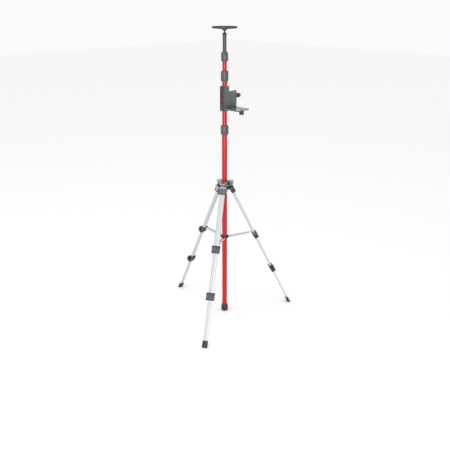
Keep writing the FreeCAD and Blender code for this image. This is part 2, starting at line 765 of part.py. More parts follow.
def brace(name, length):
    """Folded channel, flat side up. The sides stop short of the tab pin so the fold is free."""
    solids = [block(f"{name}_web", (brace_web_start, length - brace_web_short),
                    (-brace_half, brace_half), (brace_deep - brace_sheet, brace_deep))]
    solids += [block(f"{name}_side_{side}", (-brace_deep, length - brace_side_short), span,
                     (-brace_deep, brace_deep))
               for side, span in (("left", (brace_half - brace_sheet, brace_half)),
                                  ("right", (-brace_half, brace_sheet - brace_half)))]
    hole = round_bar(f"{name}_hole", brace_pin_r + fit, (0, -brace_half - 1, 0),
                     brace_half * 2 + 2, "y")
    return cut(name, join(f"{name}_solid", solids), [hole])


piece("brace_hub", brace_hub())
piece("brace_pins", brace_pins())
brace_length, brace_slope = brace_line()
for leg, azimuth in LEG_AZIMUTHS.items():
    slope = Placement(Vector(number(hub_pin_r), 0, number(hub_z)),
                      Rotation(Vector(0, 1, 0), -brace_slope))
    piece(f"brace_{leg}", brace(f"brace_{leg}", brace_length), around(azimuth, slope))


# ---------------------------------------------------------------- check and write

document.recompute()
failed = [feature.Name for feature in document.Objects
          if {"Invalid", "Error"} & set(feature.State)]
failed += [name for name, feature in pieces.items()
           if feature.Shape.isNull() or not feature.Shape.isValid() or not feature.Shape.Solids]
if failed:
    raise RuntimeError(f"these features did not build: {failed}")

os.makedirs("parts", exist_ok=True)
for name, feature in pieces.items():
    feature.Shape.exportStep(f"parts/{name}.step")
print(f"{len(pieces)} pieces, brace {brace_length:.2f} mm at {brace_slope:.2f} degrees")
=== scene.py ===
import json
import math

import bmesh
import bpy
from mathutils import Matrix, Vector


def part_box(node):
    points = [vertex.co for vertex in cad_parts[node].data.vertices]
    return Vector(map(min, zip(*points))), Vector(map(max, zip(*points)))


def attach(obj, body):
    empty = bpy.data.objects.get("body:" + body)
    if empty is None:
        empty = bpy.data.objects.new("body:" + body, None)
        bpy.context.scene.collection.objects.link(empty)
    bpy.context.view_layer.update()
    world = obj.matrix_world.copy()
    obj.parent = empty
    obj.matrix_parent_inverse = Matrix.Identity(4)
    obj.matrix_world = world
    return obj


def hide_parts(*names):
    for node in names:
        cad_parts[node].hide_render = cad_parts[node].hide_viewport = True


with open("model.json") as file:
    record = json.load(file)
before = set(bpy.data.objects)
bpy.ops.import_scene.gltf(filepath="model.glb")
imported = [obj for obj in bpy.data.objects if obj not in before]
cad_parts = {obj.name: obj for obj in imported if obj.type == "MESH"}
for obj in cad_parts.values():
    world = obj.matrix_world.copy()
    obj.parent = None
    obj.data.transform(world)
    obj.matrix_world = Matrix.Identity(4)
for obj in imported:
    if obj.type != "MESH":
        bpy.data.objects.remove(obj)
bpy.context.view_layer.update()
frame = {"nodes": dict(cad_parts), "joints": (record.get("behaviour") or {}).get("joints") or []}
cad = frame["nodes"]
joint = {row["name"]: row for row in frame["joints"]}
MM = 0.001
LEGS = ("a", "b", "c")


# ---------------------------------------------------------------- pole foot
# A soft black rubber boot pushed over the lowest tube. It is moulded in one piece, with a rounded
# tread edge and three shallow grip rings, and it wears to a dusty matt grey.

def linear(code):
    """An sRGB hex colour as the linear colour that a shader reads."""
    parts = [int(code[place:place + 2], 16) / 255 for place in (1, 3, 5)]
    return [part / 12.92 if part <= 0.04045 else ((part + 0.055) / 1.055) ** 2.4
            for part in parts] + [1.0]


def add(material, kind, settings=None, links=None):
    """Add one shader node with its settings, and link other nodes' sockets into it."""
    made = material.node_tree.nodes.new(kind)
    for name, value in (settings or {}).items():
        if name in made.inputs:
            made.inputs[name].default_value = value
        else:
            setattr(made, name, value)
    for name, source in (links or {}).items():
        material.node_tree.links.new(source, made.inputs[name])
    return made


def blank_material(name):
    """A new material with an empty node tree."""
    material = bpy.data.materials.new(name)
    material.use_nodes = True
    material.node_tree.nodes.clear()
    return material


def moulded(name, colour, fleck, roughness, grain, relief=0.00012):
    """Moulded plastic or rubber: two close tones in soft patches and a fine spark-eroded grain."""
    material = blank_material(name)
    place = add(material, "ShaderNodeTexCoord").outputs["Object"]
    patches = add(material, "ShaderNodeTexNoise", {"Scale": 1 / (30 * MM), "Detail": 4.0},
                  {"Vector": place})
    tone = add(material, "ShaderNodeValToRGB", links={"Fac": patches.outputs["Fac"]})
    tone.color_ramp.elements[0].position = 0.35
    tone.color_ramp.elements[0].color = linear(colour)
    tone.color_ramp.elements[1].position = 0.7
    tone.color_ramp.elements[1].color = linear(fleck)
    pits = add(material, "ShaderNodeTexNoise", {"Scale": 1 / (grain * MM), "Detail": 2.0},
               {"Vector": place})
    rough = add(material, "ShaderNodeMapRange",
                {"To Min": roughness - 0.06, "To Max": roughness + 0.08},
                {"Value": pits.outputs["Fac"]})
    bump = add(material, "ShaderNodeBump", {"Strength": 0.35, "Distance": relief},
               {"Height": pits.outputs["Fac"]})
    shader = add(material, "ShaderNodeBsdfPrincipled",
                 links={"Base Color": tone.outputs["Color"], "Roughness": rough.outputs["Result"],
                        "Normal": bump.outputs["Normal"]})
    add(material, "ShaderNodeOutputMaterial", links={"Surface": shader.outputs["BSDF"]})
    return material


def turn_up(stations, sides=64, closed=False):
    """Model a round piece about Z from a circle, extruded ring by ring to (height, radius) in mm."""
    bpy.ops.object.select_all(action="DESELECT")
    height, radius = stations[0]
    bpy.ops.mesh.primitive_circle_add(vertices=sides, radius=radius * MM,
                                      fill_type="NOTHING" if closed else "NGON",
                                      location=(0, 0, height * MM))
    piece = bpy.context.object
    bpy.ops.object.mode_set(mode="EDIT")
    bpy.ops.mesh.select_mode(type="EDGE")
    bpy.ops.mesh.select_all(action="SELECT")
    rings = stations + [stations[0]] if closed else stations
    for (low, wide), (high, next_wide) in zip(rings, rings[1:]):
        bpy.ops.mesh.extrude_edges_move(TRANSFORM_OT_translate={"value": (0, 0, (high - low) * MM)})
        share = next_wide / wide
        bpy.ops.transform.resize(value=(share, share, 1), center_override=(0, 0, high * MM))
    if not closed:
        bpy.ops.mesh.edge_face_add()
    bpy.ops.mesh.select_all(action="SELECT")
    bpy.ops.mesh.remove_doubles(threshold=0.00001)
    bpy.ops.mesh.normals_make_consistent(inside=False)
    bpy.ops.object.mode_set(mode="OBJECT")
    return piece


def soften(piece, width, segments=2, angle=30):
    """Round every sharp edge as a mould or a file leaves it."""
    bpy.context.view_layer.objects.active = piece
    bevel = piece.modifiers.new("edges", "BEVEL")
    bevel.width = width * MM
    bevel.segments = segments
    bevel.limit_method = "ANGLE"
    bevel.angle_limit = math.radians(angle)
    bevel.use_clamp_overlap = True
    bpy.ops.object.modifier_apply(modifier=bevel.name)
    return piece


def place_piece(piece, name, body, slot, material, *nodes):
    """Finish a piece: its place goes into its mesh, then it gets its finish and its body."""
    bpy.ops.object.select_all(action="DESELECT")
    piece.select_set(True)
    bpy.context.view_layer.objects.active = piece
    bpy.ops.object.transform_apply(location=True, rotation=True, scale=True)
    bpy.ops.object.shade_smooth_by_angle(angle=math.radians(35))
    piece.name = piece.data.name = name
    piece.data.materials.append(material)
    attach(piece, body)
    if nodes:
        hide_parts(*nodes)


# Black rubber: almost no shine, with a dusty grey cast and a coarse skin.
foot_rubber = moulded("foot_rubber", "#262629", "#333336", 0.58, 1.2, 0.0002)
foot_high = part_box("pole_foot")[1]
foot_r = foot_high.x / MM
tube_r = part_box("pole_tube_1")[1].x / MM
top = foot_high.z / MM
ring_heights = (13, 19, 25)
ring_deep = 0.9
grips = []
for ring_z in ring_heights:
    grips += [(ring_z - 1.4, foot_r), (ring_z - 0.7, foot_r - ring_deep),
              (ring_z + 0.7, foot_r - ring_deep), (ring_z + 1.4, foot_r)]
foot = turn_up([(0.0, foot_r - 4.6), (0.6, foot_r - 3.0), (2.2, foot_r - 1.2), (5.0, foot_r - 0.3),
                (8.0, foot_r)] + grips
               + [(28.0, foot_r - 0.1), (33.0, foot_r - 0.8), (top - 3, foot_r - 2.0),
                  (top - 1, foot_r - 2.3), (top, foot_r - 3.2), (top, tube_r + 0.05),
                  (top - 3, tube_r + 0.05)])
place_piece(foot, "pole_foot_boot", "pole_1", "rubber", foot_rubber, "pole_foot")


# ---------------------------------------------------------------- pole tubes
# Three drawn aluminium tubes with a hard glossy red finish, and a dark anodised top rod. The drawn
# surface keeps faint lines along its length. The real ones are finer than the 0.8 mm drawn here.

def drawn_tube(name, colour, shade, metallic, roughness, coat=0.0, specular=0.5):
    """Drawn metal: lines along Z, a slow colour drift, and a clear gloss if coat is over 0."""
    material = blank_material(name)
    place = add(material, "ShaderNodeTexCoord").outputs["Object"]
    stretch = add(material, "ShaderNodeMapping", {"Scale": (1.0, 1.0, 0.02)}, {"Vector": place})
    lines = add(material, "ShaderNodeTexNoise", {"Scale": 1 / (0.8 * MM), "Detail": 3.0},
                {"Vector": stretch.outputs["Vector"]})
    drift = add(material, "ShaderNodeTexNoise", {"Scale": 1 / (120 * MM), "Detail": 2.0},
                {"Vector": place})
    tone = add(material, "ShaderNodeValToRGB", links={"Fac": drift.outputs["Fac"]})
    tone.color_ramp.elements[0].position = 0.3
    tone.color_ramp.elements[0].color = linear(shade)
    tone.color_ramp.elements[1].position = 0.7
    tone.color_ramp.elements[1].color = linear(colour)
    rough = add(material, "ShaderNodeMapRange",
                {"To Min": roughness - 0.04, "To Max": roughness + 0.05},
                {"Value": lines.outputs["Fac"]})
    bump = add(material, "ShaderNodeBump", {"Strength": 0.12, "Distance": 0.00005},
               {"Height": lines.outputs["Fac"]})
    shader = add(material, "ShaderNodeBsdfPrincipled",
                 {"Metallic": metallic, "Specular IOR Level": specular, "Coat Weight": coat,
                  "Coat Roughness": 0.16},
                 {"Base Color": tone.outputs["Color"], "Roughness": rough.outputs["Result"],
                  "Normal": bump.outputs["Normal"]})
    add(material, "ShaderNodeOutputMaterial", links={"Surface": shader.outputs["BSDF"]})
    return material


def finish_node(name, material):
    """Give a CAD node that stays visible its finish."""
    materials = cad[name].data.materials
    materials.clear()
    materials.append(material)


# Red lacquer on aluminium: deep red edges and one bright line of light down each tube.
red_tube = drawn_tube("red_lacquered_tube", "#b8040f", "#ac030c", 0.15, 0.34, 0.7, 0.12)
# Dark anodising: a satin grey with a soft metal glint.
rod_metal = drawn_tube("dark_anodised_rod", "#4a4b4e", "#404143", 0.3, 0.42, 0.1)
for section in (1, 2, 3):
    finish_node(f"pole_tube_{section}", red_tube)
finish_node("pole_tube_4", rod_metal)


# ---------------------------------------------------------------- collets and guide bushes
# Natural nylon rings inside the collars and on the lower ends of the inner tubes. They are
# hidden, apart from a thin edge, and have the waxy look of unfilled nylon.

# Unfilled nylon: creamy white, satin and nearly smooth.
nylon = moulded("natural_nylon", "#cfcbbd", "#dad6c8", 0.5, 1.0, 0.00008)
for name in ("collet_1", "bushes_2", "bushes_3", "bush_4"):
    finish_node(name, nylon)


# ---------------------------------------------------------------- twist collars
# Mid-grey glass-filled nylon grips that close the collets. Each is a barrel with a cone at each
# end and wide finger flutes cut down its side, with a satin face between them.

def pick_faces(test):
    """In edit mode, select the faces whose centre and normal pass a test."""
    bpy.ops.mesh.select_mode(type="FACE")
    bpy.ops.mesh.select_all(action="DESELECT")
    mesh = bmesh.from_edit_mesh(bpy.context.object.data)
    for face in mesh.faces:
        face.select_set(bool(test(face.calc_center_median(), face.normal)))
    bmesh.update_edit_mesh(bpy.context.object.data)


def flute(piece, low, high, count, depth):
    """Press finger flutes into the faces between two heights, count of them round the piece."""
    bpy.context.view_layer.objects.active = piece
    bpy.ops.object.mode_set(mode="EDIT")

    def in_flute(centre, normal):
        turn = math.atan2(centre.y, centre.x) / math.tau * count % 1.0
        outward = normal.x * centre.x + normal.y * centre.y > 0
        return low * MM < centre.z < high * MM and abs(normal.z) < 0.5 and turn < 0.5 and outward

    pick_faces(in_flute)
    bpy.ops.mesh.inset(thickness=0.6 * MM, depth=-depth * MM, use_boundary=True)
    bpy.ops.object.mode_set(mode="OBJECT")


# Glass-filled nylon: a neutral mid grey, satin, so that the ribs catch the light.
collar_grey = moulded("collar_glass_filled_nylon", "#444749", "#505355", 0.33, 1.1)
for number, name in enumerate(("collar_1", "collar_2", "collar_3"), start=1):
    low, high = (corner.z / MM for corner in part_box(name))
    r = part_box(name)[1].x / MM
    clearance = 0.3
    outer_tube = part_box(f"pole_tube_{number}")[1].x / MM + clearance
    inner_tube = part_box(f"pole_tube_{number + 1}")[1].x / MM + clearance
    band_low, band_high = low + 6, high - 6
    barrel = turn_up([(low, outer_tube), (low, r - 3.2), (low + 0.8, r - 2.6), (low + 4.4, r - 0.5),
                      (band_low, r), (band_high, r), (high - 4.4, r - 0.4), (high - 1.2, r - 2.2),
                      (high, r - 3.0), (high, inner_tube), (high - 3, inner_tube),
                      (high - 3, outer_tube + 2.8), (low + 3, outer_tube + 2.8),
                      (low + 3, outer_tube)], sides=96, closed=True)
    flute(barrel, band_low, band_high, count=8, depth=2.4)
    soften(barrel, 0.35)
    place_piece(barrel, f"{name}_grip", f"twist_{number}", "collar_grey", collar_grey, name)


# ---------------------------------------------------------------- top cap and ball post
# The cap is a plug with a thin flange that closes the rod's end. A dark post turns in it and
# carries the ball of the ceiling pad.

# Two moulded nylons, one dark grey and one black, both satin with a fine spark-eroded grain.
# The black one also gives the painted shade round the foot of each leg top.
dark_nylon = moulded("dark_moulded_nylon", "#2b2c2e", "#353638", 0.42, 1.0)
black_nylon_and_shade = moulded("black_nylon_and_painted_shade", "#161618", "#222225", 0.4, 1.0)
cap_low, cap_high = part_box("top_cap")
cap_r = cap_high.x / MM
flange_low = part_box("pole_tube_4")[1].z / MM
flange_high = cap_high.z / MM
rod_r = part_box("pole_tube_4")[1].x / MM
cap = turn_up([(cap_low.z / MM, rod_r - 1.6), (flange_low, rod_r - 1.25), (flange_low, rod_r + 0.4),
               (flange_low + 2.2, cap_r - 1.2), (flange_low + 3.2, cap_r), (flange_high - 1, cap_r),
               (flange_high, cap_r - 1), (flange_high, 6.5), (flange_high - 1, 6.0),
               (flange_high - 1, 1.0)])
soften(cap, 0.3)
place_piece(cap, "rod_cap", "pole_4", "dark_plastic", dark_nylon, "top_cap")

post_low, post_high = (corner.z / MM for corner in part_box("ball_stud"))
ball_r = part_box("ball_stud")[1].x / MM
ball_z = post_high - ball_r
ball_stations = [(ball_z + ball_r * math.sin(math.radians(turn)),
                  ball_r * math.cos(math.radians(turn))) for turn in range(-60, 90, 10)]
post = turn_up([(post_low, 4.2), (post_low + 0.6, 4.75), (post_low + 5.6, 4.75),
                (post_low + 8, 2.8)] + ball_stations, sides=48)
place_piece(post, "ball_post", "pad_post", "dark_plastic", black_nylon_and_shade, "ball_stud")


# ---------------------------------------------------------------- ceiling pad
# A stiff round plate, moulded in dark plastic, with a rolled rim, a socket hub and ribs under it
# that stop short of the rim. A soft facing with ring grooves is glued on top.

def box_at(low, high):
    """A cube primitive stretched between two corners given in mm."""
    bpy.ops.object.select_all(action="DESELECT")
    centre = [(a + b) / 2 * MM for a, b in zip(low, high)]
    size = [(b - a) * MM for a, b in zip(low, high)]
    bpy.ops.mesh.primitive_cube_add(size=1, location=centre)
    box = bpy.context.object
    box.scale = size
    bpy.ops.object.transform_apply(location=True, rotation=True, scale=True)
    return box


def combine(piece, tool, operation):
    """Join with another solid or cut it away, then drop the tool."""
    bpy.context.view_layer.objects.active = piece
    boolean = piece.modifiers.new("shape", "BOOLEAN")
    boolean.operation = operation
    boolean.solver = "EXACT"
    boolean.object = tool
    bpy.ops.object.modifier_apply(modifier=boolean.name)
    bpy.data.objects.remove(tool)
    return piece


def about_pole(degrees):
    """A turn about the pole's axis."""
    return Matrix.Rotation(math.radians(degrees), 4, "Z")


def moved_copy(piece, place):
    """A copy of a piece, with its own mesh, moved by a matrix."""
    twin = piece.copy()
    twin.data = piece.data.copy()
    bpy.context.scene.collection.objects.link(twin)
    twin.data.transform(place)
    return twin


def gather(pieces):
    """Join loose solids into one object."""
    bpy.ops.object.select_all(action="DESELECT")
    for piece in pieces:
        piece.select_set(True)
    bpy.context.view_layer.objects.active = pieces[0]
    bpy.ops.object.join()
    return pieces[0]


# Stiff dark plastic with a satin skin, and a matt open-grained rubber for the facing.
pad_grey = moulded("pad_moulded_plastic", "#303234", "#3a3c3e", 0.42, 1.2)
facing_rubber = moulded("pad_facing_rubber", "#2b2b2d", "#353537", 0.7, 0.9, 0.0002)
pad_low, pad_high = (corner.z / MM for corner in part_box("pad_plate"))
pad_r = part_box("pad_plate")[1].x / MM
under = pad_high - 5
plate = turn_up([(pad_low + 0.2, 4.7), (pad_low, 6.0), (pad_low + 1.0, 8.5), (pad_low + 6, 13.6),
                 (under - 1.5, 15.0), (under, 16.5), (under, pad_r - 6), (under - 0.8, pad_r - 4),
                 (under - 0.8, pad_r - 1.2), (under, pad_r), (pad_high - 1, pad_r),
                 (pad_high, pad_r - 1), (pad_high, 7.5), (ball_z + 2, 6.2), (ball_z, 6.35),
                 (ball_z - 2.2, 5.9)], sides=128, closed=True)
rib_end = 52
rib_count = 8
rib = box_at((13, -1.1, under - 5), (rib_end, 1.1, under + 1))
bpy.ops.object.mode_set(mode="EDIT")
pick_faces(lambda centre, normal: normal.x > 0.9)
bpy.ops.transform.resize(value=(1, 0.8, 0.35),
                         center_override=(rib_end * MM, 0, (under + 1) * MM))
bpy.ops.object.mode_set(mode="OBJECT")
soften(rib, 0.35)
ribs = [moved_copy(rib, about_pole(360 / rib_count * number)) for number in range(1, rib_count)]
pad_parts = gather([plate, rib] + ribs)
soften(pad_parts, 0.3)
place_piece(pad_parts, "ceiling_pad_plate", "pad", "dark_plastic", pad_grey, "pad_plate")

facing_low, facing_high = (corner.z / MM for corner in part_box("pad_rubber"))
facing_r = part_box("pad_rubber")[1].x / MM
grooves = []
for groove_r in (52, 42, 32, 22):
    grooves += [(facing_high, groove_r + 1.5), (facing_high - 0.8, groove_r + 0.8),
                (facing_high - 0.8, groove_r - 0.8), (facing_high, groove_r - 1.5)]
facing = turn_up([(facing_low, facing_r - 0.3), (facing_low + 0.6, facing_r),
                  (facing_high - 0.8, facing_r), (facing_high, facing_r - 0.8)] + grooves
                 + [(facing_high, 3.5), (facing_low, 3.0)], sides=128, closed=True)
place_piece(facing, "ceiling_pad_facing", "pad", "rubber", facing_rubber, "pad_rubber")


# ---------------------------------------------------------------- laser bracket
# A grey painted die casting: a square block round the pole with two windows in one side, and a
# wing plate with a hollow housing behind it for the clamp. The housing's back has a screwed
# cover, and the shelf that a laser stands on is screwed on below.

def painted_casting(name, colour, shade, worn, roughness):
    """Satin paint on a casting: orange-peel skin, slow tone drift, and lighter rubbed spots."""
    material = blank_material(name)
    place = add(material, "ShaderNodeTexCoord").outputs["Object"]
    drift = add(material, "ShaderNodeTexNoise", {"Scale": 1 / (45 * MM), "Detail": 5.0},
                {"Vector": place})
    tone = add(material, "ShaderNodeValToRGB", links={"Fac": drift.outputs["Fac"]})
    tone.color_ramp.elements[0].position = 0.3
    tone.color_ramp.elements[0].color = linear(shade)
    tone.color_ramp.elements[1].position = 0.62
    tone.color_ramp.elements[1].color = linear(colour)
    rubbed = tone.color_ramp.elements.new(0.86)
    rubbed.color = linear(worn)
    peel = add(material, "ShaderNodeTexNoise", {"Scale": 1 / (1.6 * MM), "Detail": 2.0},
               {"Vector": place})
    rough = add(material, "ShaderNodeMapRange",
                {"To Min": roughness - 0.05, "To Max": roughness + 0.07},
                {"Value": peel.outputs["Fac"]})
    bump = add(material, "ShaderNodeBump", {"Strength": 0.25, "Distance": 0.0001},
               {"Height": peel.outputs["Fac"]})
    shader = add(material, "ShaderNodeBsdfPrincipled",
                 {"Metallic": 0.1, "Coat Weight": 0.15, "Coat Roughness": 0.25},
                 {"Base Color": tone.outputs["Color"], "Roughness": rough.outputs["Result"],
                  "Normal": bump.outputs["Normal"]})
    add(material, "ShaderNodeOutputMaterial", links={"Surface": shader.outputs["BSDF"]})
    return material


def bar_at(start, end, radius, sides=48):
    """A cylinder primitive between two points given in mm."""
    bpy.ops.object.select_all(action="DESELECT")
    low, high = Vector(start), Vector(end)
    run = high - low
    bpy.ops.mesh.primitive_cylinder_add(vertices=sides, radius=radius * MM,
                                        depth=run.length * MM, location=(0, 0, 0))
    bar = bpy.context.object
    turn = Vector((0, 0, 1)).rotation_difference(run.normalized()).to_matrix().to_4x4()
    bar.data.transform(Matrix.Translation((low + high) / 2 * MM) @ turn)
    return bar


# Satin grey-green paint: an even face with a soft sheen, a little lighter where it is rubbed.
bracket_paint = painted_casting("bracket_satin_paint", "#585d5d", "#505555", "#636868", 0.4)
# Painted shade: a dark grey for the window side, so that this face reads darker. Zinc plate for
# screws, which is pale and half bright.
window_face_shade = moulded("window_face_painted_shade", "#2e2f33", "#37383c", 0.42, 1.1)
screw_steel = drawn_tube("zinc_plated_steel", "#b4b5b7", "#a3a4a6", 0.9, 0.35, 0.0)
body_low, body_high = (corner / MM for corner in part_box("bracket_body"))
cover_low, cover_high = (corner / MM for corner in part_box("bracket_cover"))
half = body_high.x
wing_y, wing_low, housing_high = body_high.y, cover_low.z, cover_high.z
wing_high = 1260
windows = ((1200, 1219), (1229, 1251))
window_half = 12.5
bore_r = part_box("bracket_liner")[1].x / MM + 0.06
column = box_at((-half, -half, body_low.z), (half, half, body_high.z))
soften(column, 1.6, 3)
wing = box_at((half - 6, half - 3, wing_low), (half, wing_y, wing_high))
soften(wing, 1.6, 3)
casting = combine(column, wing, "UNION")
housing = box_at((cover_high.x, half - 3, wing_low), (half - 3, wing_y - 0.4, housing_high))
soften(housing, 1.6, 3)
combine(casting, housing, "UNION")
for low, high in windows:
    window = box_at((-window_half, -half - 2, low), (window_half, -8, high))
    soften(window, 2.0, 3)
    combine(casting, window, "DIFFERENCE")
combine(casting, bar_at((0, 0, body_low.z - 5), (0, 0, body_high.z + 5), bore_r, 64), "DIFFERENCE")
hollow = box_at((-half - 1, half + 4, wing_low + 4), (half - 8, wing_y - 6, housing_high - 4))
combine(casting, hollow, "DIFFERENCE")
shoe_low, shoe_high = (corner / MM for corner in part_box("clamp_shoe"))
combine(casting, box_at((shoe_low.x - 0.4, 10, shoe_low.z - 0.4),
                        (shoe_high.x + 0.4, half + 5, shoe_high.z + 0.4)), "DIFFERENCE")
screw_z = (shoe_low.z + shoe_high.z) / 2
combine(casting, bar_at((0, wing_y - 8, screw_z), (0, wing_y + 2, screw_z), 3.06), "DIFFERENCE")
soften(casting, 0.4, 2, 50)
place_piece(casting, "bracket_casting", "bracket", "bracket_grey", bracket_paint, "bracket_body")

# A dark sheet over the window side of the block: painted shade for that face.
window_shade_sheet = box_at((-half + 1, -half - 1.2, body_low.z + 1.5),
                      (half - 1, -half + 0.2, body_high.z - 1.5))
for low, high in windows:
    opening = box_at((-window_half, -half - 2, low), (window_half, -half + 1, high))
    soften(opening, 2.0, 3)
    combine(window_shade_sheet, opening, "DIFFERENCE")
soften(window_shade_sheet, 0.5, 2, 50)
place_piece(window_shade_sheet, "bracket_window_face_painted_shade", "bracket", "dark_plastic", window_face_shade)

cover = box_at(cover_low, cover_high)
soften(cover, 0.6)
place_piece(cover, "bracket_back_cover", "bracket", "bracket_grey", bracket_paint, "bracket_cover")

shelf_low, shelf_high = (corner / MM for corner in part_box("shelf_plate"))
stud_low, stud_high = (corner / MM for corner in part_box("shelf_knob"))
stud_x, stud_y = (stud_low.x + stud_high.x) / 2, (stud_low.y + stud_high.y) / 2
shelf = box_at((half, shelf_low.y, shelf_low.z), shelf_high)
bpy.ops.object.mode_set(mode="EDIT")
bpy.ops.mesh.select_mode(type="EDGE")
bpy.ops.mesh.select_all(action="DESELECT")
edit = bmesh.from_edit_mesh(shelf.data)
for edge in edit.edges:
    ends = [corner.co for corner in edge.verts]
    edge.select_set(all(end.x > (half + 1) * MM for end in ends)
                    and abs(ends[0].z - ends[1].z) > 0.001)
bmesh.update_edit_mesh(shelf.data)
bpy.ops.mesh.bevel(offset=5 * MM, segments=5)
pick_faces(lambda centre, normal: normal.z > 0.9)
bpy.ops.mesh.inset(thickness=5 * MM, depth=-0.8 * MM)
bpy.ops.object.mode_set(mode="OBJECT")
combine(shelf, box_at((shelf_low.x, half, shelf_low.z), (half + 3, shelf_high.y, shelf_high.z)),
        "UNION")
combine(shelf, bar_at((stud_x, stud_y, shelf_low.z - 2), (stud_x, stud_y, shelf_high.z + 2), 4.06),
        "DIFFERENCE")
soften(shelf, 0.5)
# The shelf has the bracket's paint with a clear gloss, so that its top mirrors the light.
shelf_gloss = bracket_paint.copy()
shelf_gloss.name = "shelf_gloss_paint"
for node in shelf_gloss.node_tree.nodes:
    if node.bl_idname == "ShaderNodeBsdfPrincipled":
        node.inputs["Coat Weight"].default_value = 1.0
        node.inputs["Coat Roughness"].default_value = 0.12
place_piece(shelf, "laser_shelf", "bracket", "bracket_grey", shelf_gloss, "shelf_plate")
finish_node("bracket_liner", nylon)
finish_node("bracket_screws", screw_steel)


# ---------------------------------------------------------------- clamp knob, shoe and laser screw
# Black fluted knobs moulded over steel screws. One drives the nylon shoe against the pole, and
# the other is the quarter-inch screw that comes up through the shelf into a laser.

def knob_about_z(radius, height, flutes, depth=0.9):
    """A fluted knob from z = 0 up, with a dished face on the far end."""
    knob = turn_up([(0, radius * 0.55), (0, radius * 0.8), (1.2, radius - 0.6), (2.4, radius),
                    (height - 2.4, radius), (height - 0.8, radius - 0.8),
                    (height, radius - 2.2), (height, radius * 0.62),
                    (height - 1.0, radius * 0.52), (height - 1.0, radius * 0.1)], sides=96)
    flute(knob, 2.4, height - 2.4, flutes, depth)
    return soften(knob, 0.3)


clamp_low, clamp_high = (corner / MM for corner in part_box("clamp_knob"))
grip_length = 23.5
grip_start = clamp_high.y - grip_length
to_wing_side = Matrix.Rotation(math.radians(-90), 4, "X")
grip = knob_about_z(clamp_high.x, grip_length, 16)
grip.data.transform(Matrix.Translation((0, grip_start * MM, screw_z * MM)) @ to_wing_side)
place_piece(grip, "clamp_knob_grip", "side_knob", "black_plastic", black_nylon_and_shade, "clamp_knob")
# Known fault: the height of the first ring is still in the object's location when the mesh is
# turned, so the neck ends up across the pole instead of between the wing and the grip.
neck = turn_up([(wing_y + 1, 5.5), (wing_y + 2, 6.5), (grip_start - 3, 6.5), (grip_start + 1, 8)])
neck.data.transform(Matrix.Translation((0, 0, screw_z * MM)) @ to_wing_side)
place_piece(neck, "clamp_knob_neck", "side_knob", "black_plastic", black_nylon_and_shade)
clamp_screw = bar_at((0, clamp_low.y, screw_z), (0, wing_y + 3, screw_z), 3, 32)
soften(clamp_screw, 0.4)
place_piece(clamp_screw, "clamp_knob_screw", "side_knob", "steel", screw_steel)
knob_ring = bar_at((0, clamp_high.y - 8.2, screw_z), (0, clamp_high.y - 4.8, screw_z),
                   clamp_high.x + 0.15, 64)
soften(knob_ring, 0.5)
place_piece(knob_ring, "clamp_knob_ring", "side_knob", "steel", screw_steel)
finish_node("clamp_shoe", nylon)

knob_top = shelf_low.z - 0.5
grip_r = (stud_high.x - stud_low.x) / 2
laser_grip = knob_about_z(grip_r, knob_top - stud_low.z, 16)
laser_grip.data.transform(Matrix.Translation((stud_x * MM, stud_y * MM, knob_top * MM))
                          @ Matrix.Rotation(math.pi, 4, "X"))
place_piece(laser_grip, "laser_screw_grip", "screw_knob", "dark_plastic", dark_nylon, "shelf_knob")
root_r, crest_r, pitch = 2.6, 3.175, 1.27
threads = []
for turn in range(6):
    turn_z = shelf_high.z + 0.6 + turn * pitch
    threads += [(turn_z, root_r), (turn_z + 0.5, crest_r), (turn_z + 0.75, crest_r),
                (turn_z + 1.2, root_r)]
laser_screw = turn_up([(knob_top - 1, 4.0), (shelf_high.z - 0.1, 4.0), (shelf_high.z, 3.0)] + threads
                      + [(stud_high.z, 2.2)], sides=32)
laser_screw.data.transform(Matrix.Translation((stud_x * MM, stud_y * MM, 0)))
place_piece(laser_screw, "laser_screw_stud", "screw_knob", "steel", screw_steel)


# ---------------------------------------------------------------- stand head
# A grey moulded head with three lobes, one over each leg. It has a light top plate, a near-black
# waist that is painted shade in its groove, and a second light rim, then a hinge tongue for each
# leg. A nylon bush guides the pole.

# Pale and dark moulded nylon. The pale one is the plate and rim, and also gives the painted
# highlights on the leg tops. The dark one also gives the painted shade in the waist groove and
# the painted dark reflection on the front lobe.
head_pale_and_highlight = moulded("head_moulding_pale_and_painted_highlight", "#8f9394", "#9b9fa0", 0.36, 1.2)
head_dark_and_shade = moulded("head_moulding_dark_and_painted_shade", "#222426", "#2c2e30", 0.42, 1.0)
head_low, head_high = (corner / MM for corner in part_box("head_casting"))
bush_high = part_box("head_bush")[1] / MM
hinge_r = Vector(joint["leg_a_fold"]["pos_m"]).xy.length / MM
hinge_z = joint["leg_a_fold"]["pos_m"][2] / MM
azimuth = {leg: math.degrees(math.atan2(joint[f"leg_{leg}_fold"]["pos_m"][1],
                                        joint[f"leg_{leg}_fold"]["pos_m"][0])) for leg in LEGS}
head_reach = -head_low.x


def three_lobes(core_r, reach, half_width, low, high, edge):
    """A disc with a lobe towards each leg, narrowed at its end."""
    disc = bar_at((0, 0, low), (0, 0, high), core_r, 72)
    end = half_width * 0.6
    for leg in LEGS:
        lobe = box_at((0, -half_width, low), (reach - end, half_width, high))
        bpy.ops.object.mode_set(mode="EDIT")
        pick_faces(lambda centre, normal: normal.x > 0.9)
        bpy.ops.mesh.extrude_region_move(TRANSFORM_OT_translate={"value": (end * MM, 0, 0)})
        bpy.ops.transform.resize(value=(1, 0.7, 1), center_override=(0, 0, 0))
        bpy.ops.object.mode_set(mode="OBJECT")
        lobe.data.transform(about_pole(azimuth[leg]))
        combine(disc, lobe, "UNION")
    combine(disc, bar_at((0, 0, low - 2), (0, 0, high + 2), bush_high.x, 64), "DIFFERENCE")
    return soften(disc, edge, 3)


